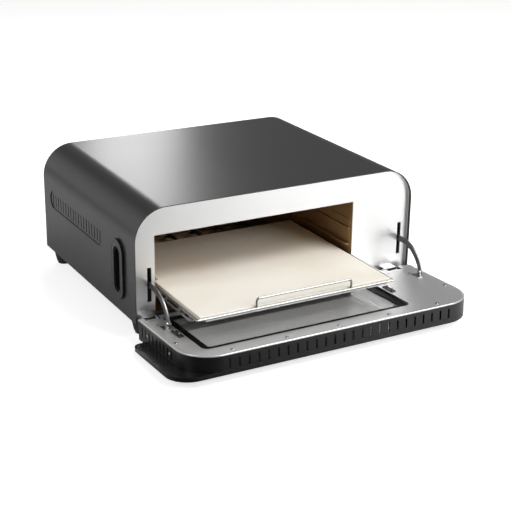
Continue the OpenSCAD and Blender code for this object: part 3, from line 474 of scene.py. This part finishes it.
# ---------------------------------------------------------------- screws of back and base
# Zinc-plated steel screws with low domed heads and a cross recess. Five hold the back panel
# along its lower edge and its top, and one holds each foot from inside the base pan.
def turned(name, rings, sides):
    (radius, low), (radius_next, high) = rings[:2]
    piece = begin(name, bpy.ops.mesh.primitive_cylinder_add, vertices=sides, radius=radius,
                  depth=high - low, location=(0, 0, (low + high) / 2))
    bpy.ops.object.mode_set(mode="EDIT")
    pick_top(piece)
    growth = radius_next / radius
    bpy.ops.transform.resize(value=(growth, growth, 1), center_override=(0, 0, high))
    for (before, start), (after, end) in zip(rings[1:], rings[2:]):
        growth = after / before
        bpy.ops.mesh.extrude_region_move(TRANSFORM_OT_translate={"value": (0, 0, end - start)})
        bpy.ops.transform.resize(value=(growth, growth, 1), center_override=(0, 0, end))
    bpy.ops.object.mode_set(mode="OBJECT")
    return piece


def block(name, size, place, angle=0.0):
    return begin(name, bpy.ops.mesh.primitive_cube_add, size=1, location=place, scale=size,
                 rotation=(0, 0, angle))


def join(pieces):
    choose(pieces)
    if len(pieces) > 1:
        bpy.ops.object.join()
    return pieces[0]


def cross_screw(name, head, rise, shank, length=0.006):
    screw = turned(name, [
        (shank * 0.6, -length), (shank, -length + 0.001), (shank, 0), (head, 0), (head, rise * 0.4),
        (head * 0.88, rise * 0.78), (head * 0.6, rise)], 28)
    arm = (head * 1.05, head * 0.24, rise * 0.9)
    cross = join([block("recess", arm, (0, 0, rise), angle) for angle in (0, math.pi / 2)])
    bpy.context.view_layer.objects.active = screw
    cut = screw.modifiers.new("recess", "BOOLEAN")
    cut.operation = "DIFFERENCE"
    cut.object = cross
    cut.solver = "EXACT"
    cut.use_self = True
    bpy.ops.object.modifier_apply(modifier=cut.name)
    bpy.data.objects.remove(cross)
    return screw


def set_out(piece, name, places):
    twins = []
    for place in places:
        twin = piece.copy()
        twin.data = piece.data.copy()
        twin.data.transform(place)
        bpy.context.collection.objects.link(twin)
        twins.append(twin)
    bpy.data.objects.remove(piece)
    made_up = join(twins)
    made_up.name = name
    return made_up


to_back = Matrix.Rotation(math.radians(-90), 4, "X")
rear_face, lower_row, upper_row = 0.174, 0.036, 0.1765
rear_spots = [(x, lower_row) for x in (-0.2146, 0, 0.2146)] + [(x, upper_row) for x in (-0.15, 0.15)]
rear_set = set_out(cross_screw("rear_screw", head=0.0034, rise=0.0018, shank=0.0015), "rear_screw_set",
                   [Matrix.Translation((x, rear_face, z)) @ to_back for x, z in rear_spots])
complete(rear_set, zinc_steel, "housing", replaced=("rear_screws",))
dress(zinc_steel, "base_screws")

# ---------------------------------------------------------------- door edge and fascia
# The door's edge is a bent strip of painted steel with punched vent slots. The front of the
# door is a thick moulded fascia in glossy black, drawn out on the left into a grip ear.
hinge_line = Vector((0, -0.1884, 0.026))
open_angle = math.radians(87.7)
on_door = Matrix.Translation(hinge_line) @ Matrix.Rotation(open_angle, 4, "X")
inner_face, outer_face = 0.0082, -0.0208

edge_paint = finish("edge_paint", peel, (0.006, 0.006, 0.0062), bump=0.02, Grain_Size=170.0,
                    Roughness_Low=0.285, Roughness_High=0.33)
gloss_black = finish("gloss_black", peel, (0.006, 0.006, 0.0065), bump=0.01, Grain_Size=170.0,
                     Roughness_Low=0.2, Roughness_High=0.26)
dress(edge_paint, "door_frame", edge=0.0004)
dress(gloss_black, "door_fascia", edge=0.0014, rounds=4)

# ---------------------------------------------------------------- inner sheet of the door
# Brushed stainless sheet with a softly rolled outer edge, pressed down round the window to
# seat its border.
door_steel = finish("door_steel", brush, (0.55, 0.55, 0.55), metallic=0.62, Contrast=0.35,
                    Roughness_Low=0.38, Roughness_High=0.46)
# The rolled rim gets a near-white steel, much paler than the sheet, so it shows as a bright line: a painted
# highlight on top of its real reflections.
rim_steel_painted_highlight = finish("rim_steel_painted_highlight", brush, (0.95, 0.95, 0.94), metallic=0.8,
                   Roughness_Low=0.28, Roughness_High=0.34)
dress(door_steel, "door_inner_plate", edge=0.0004)
to_front = Matrix.Rotation(math.radians(90), 4, "X")
rim_radius, rim_sink = 0.0012, 0.0006
half_width, near_end, far_end, far_corner = 0.22875, 0.006, 0.16325, 0.0478
halfway = (near_end + far_end) / 2
door_rim = begin("door_plate_rolled_rim", bpy.ops.mesh.primitive_plane_add, size=half_width * 2,
                 location=(0, near_end + half_width, 0))
bpy.ops.object.mode_set(mode="EDIT")
bpy.ops.mesh.select_all(action="SELECT")
reach = (far_end - near_end) / half_width / 2
bpy.ops.transform.resize(value=(1, reach, 1), center_override=(0, near_end, 0))
pick(door_rim, "VERT", lambda vertex: vertex.co.y > halfway)
bpy.ops.mesh.bevel(offset=far_corner, segments=14, affect="VERTICES")
bpy.ops.mesh.select_all(action="SELECT")
bpy.ops.mesh.delete(type="ONLY_FACE")
pick(door_rim, "EDGE", lambda edge: max(end.co.y for end in edge.verts) < halfway)
bpy.ops.mesh.delete(type="EDGE")
bpy.ops.object.mode_set(mode="OBJECT")
bpy.ops.object.convert(target="CURVE")
door_rim.data.bevel_depth = rim_radius
door_rim.data.bevel_resolution = 3
door_rim.data.use_fill_caps = True
bpy.ops.object.convert(target="MESH")
rim_place = on_door @ Matrix.Translation((0, inner_face - rim_sink, 0)) @ to_front
complete(bpy.context.object, rim_steel_painted_highlight, "door", rim_place)


# ---------------------------------------------------------------- window
# Two panes of toughened glass with an air gap. A flat black border of heat-proof rubber laps
# over the edge of the inner pane, and the outer pane sits flush in the fascia.
def glass(name, colour, roughness, share):
    return finish(name, peel, colour, bump=0.004, Roughness_Low=roughness, Roughness_High=roughness + 0.03,
                  Transmission_Weight=share, Specular_IOR_Level=0.14, IOR=1.16)


clear_glass = glass("clear_glass", (0.8, 0.8, 0.795), 0.03, 0.86)
smoke_glass = glass("smoke_glass", (0.58, 0.58, 0.58), 0.04, 1.0)
border_black = finish("border_black", peel, (0.003, 0.003, 0.003), Roughness_Low=0.55, Roughness_High=0.65,
                      Specular_IOR_Level=0.12)
dress(border_black, "window_gasket", edge=0.0005)
dress(clear_glass, "inner_glass", edge=0.0004)
dress(smoke_glass, "outer_glass")

# ---------------------------------------------------------------- hinges
# Each hinge is a plated bracket with two ears on the base, a leaf with a rolled eye behind the
# inner sheet, and a pin riveted over into a low dome at both ends.
dress(zinc_steel, "hinge_bracket_left", "hinge_bracket_right", "hinge_leaf_left", "hinge_leaf_right")
head_end, head_foot, pin_radius, head_radius, dome_radius = 0.0113, 0.0106, 0.0030, 0.0042, 0.0022
pin_rings = [(dome_radius, -head_end), (head_radius, -0.0110), (head_radius, -head_foot),
             (pin_radius, -head_foot), (pin_radius, head_foot), (head_radius, head_foot),
             (head_radius, 0.0110), (dome_radius, head_end)]
for side, x in (("left", -0.210), ("right", 0.197)):
    pin = turned("hinge_pin_domed_" + side, pin_rings, 40)
    lying = Matrix.Translation((x, hinge_line.y, hinge_line.z)) @ Matrix.Rotation(math.radians(90), 4, "Y")
    complete(pin, zinc_steel, "housing", lying, replaced=("hinge_pin_" + side,))

# ---------------------------------------------------------------- door arms
# Two curved strips of steel, each pivoted on a riveted lug of the door. They draw through the
# slots of the front panel and slide in black plastic guides behind it.
arm_steel = finish("arm_steel", brush, (0.26, 0.26, 0.265), metallic=1.0, Contrast=0.3,
                   Roughness_Low=0.29, Roughness_High=0.38)
dress(arm_steel, "door_arm_left", "door_arm_right", edge=0.0004)
dress(zinc_steel, "arm_lug_left", "arm_lug_right")
dress(black_plastic, "arm_guide_left", "arm_guide_right")


def on_sheet(x, z, lift=0.0):
    return on_door @ Matrix.Translation((x, inner_face + lift, z)) @ to_back


lug_foot = 0.0012
rivet = turned("plate_rivet", [(0.0014, -0.0003), (0.0021, 0.0001), (0.0019, 0.0006), (0.0012, 0.0009)], 20)
rivets = set_out(rivet, "plate_rivets", [
    on_sheet(-0.2188, 0.0124), on_sheet(-0.2153, 0.0285), on_sheet(-0.2115, 0.0495, lug_foot),
    on_sheet(0.2052, 0.0285), on_sheet(0.2115, 0.0495, lug_foot), on_sheet(0.1790, 0.0124)])
complete(rivets, zinc_steel, "door")

# ---------------------------------------------------------------- pull hooks
# Beside the window on each side sits a small black insert with two bright pins. They catch the
# stone's carrier as the door comes down.
insert_size = (0.008, 0.026, 0.0014)
insert_corner, insert_wall, insert_hollow = 0.0018, 0.0011, 0.0009
insert_height, pin_heights = 0.071, (0.0645, 0.0775)
for side, x in (("left", -0.205), ("right", 0.139)):
    insert = block("hook_insert_" + side, insert_size, (0, 0, insert_size[2] / 2))
    bpy.ops.object.mode_set(mode="EDIT")
    pick(insert, "EDGE", lambda edge: abs((edge.verts[0].co - edge.verts[1].co).normalized().z) > 0.9)
    bpy.ops.mesh.bevel(offset=insert_corner, segments=5, affect="EDGES")
    pick_top(insert)
    bpy.ops.mesh.inset(thickness=insert_wall)
    bpy.ops.mesh.extrude_region_move(TRANSFORM_OT_translate={"value": (0, 0, -insert_hollow)})
    complete(insert, black_plastic, "door", on_sheet(x, insert_height), edge=0.0002, rounds=2,
             replaced=("pull_hooks",))
    hook = turned("hook_pin", [
        (0.0015, 0.0004), (0.0015, 0.0036), (0.0021, 0.0036), (0.0021, 0.0044), (0.0012, 0.0049)], 24)
    hooks = set_out(hook, "hook_pins_" + side, [on_sheet(x, z) for z in pin_heights])
    complete(hooks, zinc_steel, "door", replaced=("pull_hooks",))

# ---------------------------------------------------------------- screws of the door
# Small bright cross-head screws: a row along the far edge of the inner sheet and one at each
# side, and two in each side of the door's edge.
row_height, row_half, row_steps = 0.1525, 0.165, 4
side_screw_x, side_screw_height = 0.2205, 0.098
plate_spots = [(-row_half + i * row_half * 2 / row_steps, row_height) for i in range(row_steps + 1)]
plate_spots += [(-side_screw_x, side_screw_height), (side_screw_x, side_screw_height)]
plate_set = set_out(cross_screw("plate_screw", head=0.0030, rise=0.0011, shank=0.0015),
                    "door_plate_screw_set", [on_sheet(x, z) for x, z in plate_spots])
complete(plate_set, zinc_steel, "door", replaced=("door_plate_screws",))

edge_screw_depth, edge_screw_heights = -0.0055, (0.02795, 0.09815)
edge_places = []
for way in (-1, 1):
    facing_out = Matrix.Rotation(way * math.pi / 2, 4, "Y")
    for z in edge_screw_heights:
        edge_places.append(on_door @ Matrix.Translation((way * side_x, edge_screw_depth, z)) @ facing_out)
edge_set = set_out(cross_screw("edge_screw", head=0.0026, rise=0.0009, shank=0.0014),
                   "door_edge_screw_set", edge_places)
complete(edge_set, zinc_steel, "door", replaced=("door_side_screws",))

# ---------------------------------------------------------------- controls
# Two low knobs turn on shafts through the fascia, one over the other: satin black plastic with
# fine flutes and a dished top. Both stand at the last mark of the pale scale that is printed
# on the fascia, and turn back to 0. A red lens sits under them.
knob_plastic = finish("knob_plastic", peel, (0.03, 0.03, 0.031), Roughness_Low=0.35, Roughness_High=0.45)
pale_print = finish("pale_print", peel, (0.62, 0.62, 0.6), Roughness_Low=0.5, Roughness_High=0.6)
lens_red = finish("lens_red", peel, (0.45, 0.02, 0.01), Roughness_Low=0.15, Roughness_High=0.25)
knob_x, knob_radius, knob_foot, knob_shoulder = 0.183, 0.0180, 0.0004, 0.0050
flutes, flute_depth = 36, 0.025
dial_sweep = 300
pointer_size, pointer_place = (0.0014, 0.0110, 0.0009), (0, 0.0105, 0.0055)
tick_size, tick_radius, number_radius, number_size = (0.0005, 0.0018, 0.00006), 0.0200, 0.0232, 0.0042
ink = 0.00003


def fluted_knob(name):
    knob = turned(name, [
        (0.0026, -0.010), (0.0030, -0.0096), (0.0030, knob_foot), (knob_radius, knob_foot),
        (knob_radius, knob_shoulder), (0.0172, 0.0058), (0.0148, 0.0060), (0.0135, 0.0054)], flutes * 2)

    def in_flute(face):
        middle = face.calc_center_median()
        count = round(math.atan2(middle.y, middle.x) * flutes / math.pi - 0.5)
        return abs(face.normal.z) < 0.1 and middle.xy.length > 0.017 and count % 2 == 0

    bpy.ops.object.mode_set(mode="EDIT")
    pick(knob, "FACE", in_flute)
    bpy.ops.mesh.inset(thickness=0.0001)
    bpy.ops.transform.resize(value=(1 - flute_depth, 1 - flute_depth, 1), center_override=(0, 0, 0))
    return knob


def dial_pointer(name):
    pointer = block(name, pointer_size, pointer_place)
    bpy.ops.object.mode_set(mode="EDIT")
    pick_top(pointer)
    bpy.ops.transform.resize(value=(0.7, 0.96, 1), center_override=pointer_place)
    return pointer


def printed_scale(name, count, mark):
    marks = []
    for i in range(count):
        around = Matrix.Rotation(math.radians(dial_sweep / 2 - dial_sweep * i / (count - 1)), 4, "Z")
        tick = block("tick", tick_size, (0, tick_radius, ink))
        tick.data.transform(around)
        bpy.ops.object.select_all(action="DESELECT")
        bpy.ops.object.text_add()
        number = bpy.context.object
        number.data.body = mark(i)
        number.data.align_x = "CENTER"
        number.data.align_y = "CENTER"
        number.data.size = number_size
        number.data.extrude = ink
        bpy.ops.object.convert(target="MESH")
        number.data.transform(Matrix.Translation(around @ Vector((0, number_radius, ink))))
        marks += [tick, number]
    scale = join(marks)
    scale.name = name
    return scale


dials = {"temperature": (0.134, 6, lambda i: str(i)), "timer": (0.088, 7, lambda i: str(i * 5))}
at_last_mark = Matrix.Rotation(math.radians(-dial_sweep / 2), 4, "Z")
for role, (height, count, mark) in dials.items():
    body = role + "_dial"
    centre = on_door @ Matrix.Translation((knob_x, outer_face, height)) @ to_front
    complete(fluted_knob(role + "_knob_fluted"), knob_plastic, body, centre, corner=30,
             replaced=(role + "_knob",))
    complete(dial_pointer(role + "_pointer"), pale_print, body, centre @ at_last_mark, edge=0.0001, rounds=2)
    complete(printed_scale(role + "_scale", count, mark), pale_print, "door", centre)
dress(black_plastic, "temperature_switch", "timer_switch")
dress(lens_red, "indicator_lens", edge=0.0004)

# ---------------------------------------------------------------- stone and carrier
# The stone is a slab of pale cordierite, pressed and fired, with eased edges. Its carrier is
# welded from bright round wire, with a punched strip and a loop handle on the front bar.
stone_white = finish("stone_white", baked, (0.86, 0.82, 0.74), bump=0.25, distance=0.0004,
                     Scorch=(0.74, 0.66, 0.52, 1), Roughness_Low=0.75, Roughness_High=0.88)
bright_wire = finish("bright_wire", brush, (0.38, 0.38, 0.375), metallic=1.0,
                     Roughness_Low=0.16, Roughness_High=0.26)
dress(stone_white, "baking_stone", edge=0.0012, rounds=3)
dress(bright_wire, "stone_carrier", "carrier_handle", edge=0.0002)
